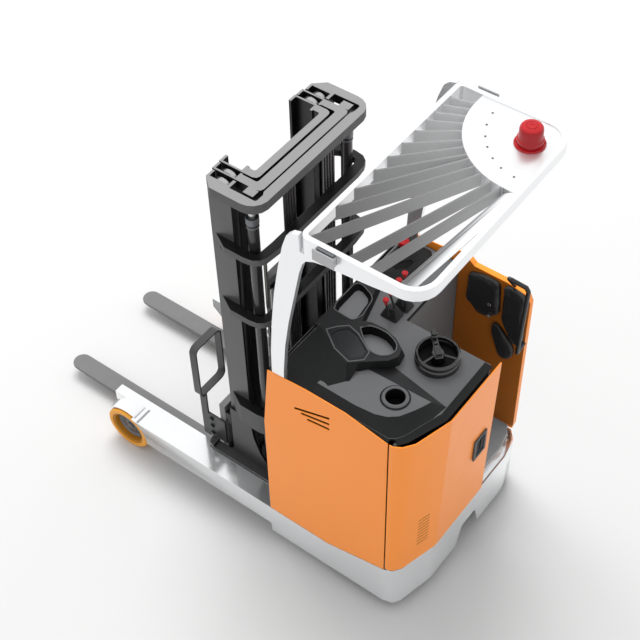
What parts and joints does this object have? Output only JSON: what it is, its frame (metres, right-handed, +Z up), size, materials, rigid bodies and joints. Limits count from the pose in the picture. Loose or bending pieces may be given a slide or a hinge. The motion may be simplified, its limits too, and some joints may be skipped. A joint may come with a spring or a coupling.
{
  "type": "reach truck",
  "caption": "Electric stand-on reach truck with straddle legs, three-stage mast, orange body, operator compartment and slatted overhead guard",
  "frame": {"origin": "centre of the bounding box in X and Y, on the floor", "axes": "+X forwards to the fork tips, +Y to the left side, +Z up"},
  "size_m": [2.285, 1.088, 2.32],
  "materials": {
    "chassis_paint": "satin light grey paint",
    "body_paint": "satin orange paint",
    "dark_paint": "satin dark grey paint",
    "mast_paint": "satin mid grey paint",
    "steel": "machined steel",
    "console_plastic": "dark grained plastic",
    "pad_leather": "black padded covering",
    "battery_paint": "dark grey paint",
    "wheel_polyurethane": "orange polyurethane",
    "tyre_rubber": "black press-on tyre",
    "black_plastic": "black plastic",
    "red_plastic": "red plastic"
  },
  "bodies": {
    "chassis": {"base_frame": "chassis_paint", "leg_left": "chassis_paint", "leg_right": "chassis_paint", "side_panel_left": "body_paint", "side_wall_right": "body_paint", "front_bulkhead": "dark_paint", "console": "console_plastic", "door_pivot_top": "dark_paint", "platform": "dark_paint", "compartment_liner": "dark_paint", "backrest_pads": "pad_leather", "grab_handle": "dark_paint", "battery": "battery_paint", "reach_barrel": "mast_paint", "overhead_guard": "chassis_paint", "guard_pillar_left": "chassis_paint", "guard_pillar_right": "chassis_paint", "beacon": "red_plastic", "work_lamp_left": "black_plastic", "work_lamp_right": "black_plastic", "steering_column": "steel", "control_levers": "red_plastic", "emergency_button": "red_plastic"},
    "rear_door": {"rear_door": "body_paint", "door_latch": "steel"},
    "steering_wheel": {"steering_wheel": "black_plastic"},
    "drive_unit": {"drive_motor": "dark_paint", "drive_gearbox": "dark_paint"},
    "drive_wheel": {"drive_tyre": "tyre_rubber", "drive_hub": "steel"},
    "castor": {"castor_fork": "dark_paint"},
    "castor_wheel_left": {"castor_wheel_left": "tyre_rubber"},
    "castor_wheel_right": {"castor_wheel_right": "tyre_rubber"},
    "load_wheel_left": {"load_tyre_left": "wheel_polyurethane", "load_hub_left": "steel"},
    "load_wheel_right": {"load_tyre_right": "wheel_polyurethane", "load_hub_right": "steel"},
    "mast_outer": {"mast_outer": "mast_paint", "reach_carriage": "mast_paint", "reach_rollers": "steel", "reach_rod": "steel", "lift_cylinder_left": "mast_paint", "lift_cylinder_right": "mast_paint"},
    "mast_middle": {"mast_middle": "mast_paint", "lift_rod_left": "steel", "lift_rod_right": "steel"},
    "mast_inner": {"mast_inner": "mast_paint", "free_lift_cylinder": "mast_paint"},
    "free_lift_ram": {"free_lift_rod": "steel"},
    "fork_carriage": {"fork_carriage": "mast_paint", "fork_left": "mast_paint", "fork_right": "mast_paint", "load_backrest": "mast_paint"}
  },
  "joints": [
    {"name": "rear_door_hinge", "type": "hinge", "parent": "chassis", "child": "rear_door", "pos_m": [-1.01, 0.486, 0.35], "axis": [0, 0, -1], "range_deg": [0, 90]},
    {"name": "steering", "type": "hinge", "parent": "chassis", "child": "steering_wheel", "pos_m": [-0.924, 0.035, 1.33], "axis": [0, 0, 1], "continuous": true},
    {"name": "drive_steer", "type": "hinge", "parent": "chassis", "child": "drive_unit", "pos_m": [-0.88, 0.19, 0.372], "axis": [0, 0, 1], "range_deg": [-90, 90]},
    {"name": "drive_roll", "type": "hinge", "parent": "drive_unit", "child": "drive_wheel", "pos_m": [-0.88, 0.19, 0.1715], "axis": [0, 1, 0], "continuous": true},
    {"name": "castor_swivel", "type": "hinge", "parent": "chassis", "child": "castor", "pos_m": [-0.88, -0.3, 0.25], "axis": [0, 0, 1], "continuous": true},
    {"name": "castor_roll_left", "type": "hinge", "parent": "castor", "child": "castor_wheel_left", "pos_m": [-0.925, -0.3, 0.075], "axis": [0, 1, 0], "continuous": true},
    {"name": "castor_roll_right", "type": "hinge", "parent": "castor", "child": "castor_wheel_right", "pos_m": [-0.925, -0.3, 0.075], "axis": [0, 1, 0], "continuous": true},
    {"name": "load_roll_left", "type": "hinge", "parent": "chassis", "child": "load_wheel_left", "pos_m": [0.574, 0.452, 0.1257], "axis": [0, 1, 0], "continuous": true},
    {"name": "load_roll_right", "type": "hinge", "parent": "chassis", "child": "load_wheel_right", "pos_m": [0.574, -0.452, 0.1257], "axis": [0, 1, 0], "continuous": true},
    {"name": "mast_reach", "type": "slide", "parent": "chassis", "child": "mast_outer", "axis": [1, 0, 0], "range_m": [0, 0.55]},
    {"name": "mast_middle_lift", "type": "slide", "parent": "mast_outer", "child": "mast_middle", "axis": [0, 0, 1], "range_m": [0, 1.4]},
    {"name": "mast_inner_lift", "type": "slide", "parent": "mast_middle", "child": "mast_inner", "axis": [0, 0, 1], "range_m": [0, 1.4]},
    {"name": "free_lift_ram_slide", "type": "slide", "parent": "mast_inner", "child": "free_lift_ram", "axis": [0, 0, 1], "range_m": [0, 0.65]},
    {"name": "fork_lift", "type": "slide", "parent": "mast_inner", "child": "fork_carriage", "axis": [0, 0, 1], "range_m": [0, 1.3]}
  ],
  "couplings": [
    {"joint": "mast_inner_lift", "follows": "mast_middle_lift", "ratio": 1},
    {"joint": "free_lift_ram_slide", "follows": "fork_lift", "ratio": 0.5}
  ]
}
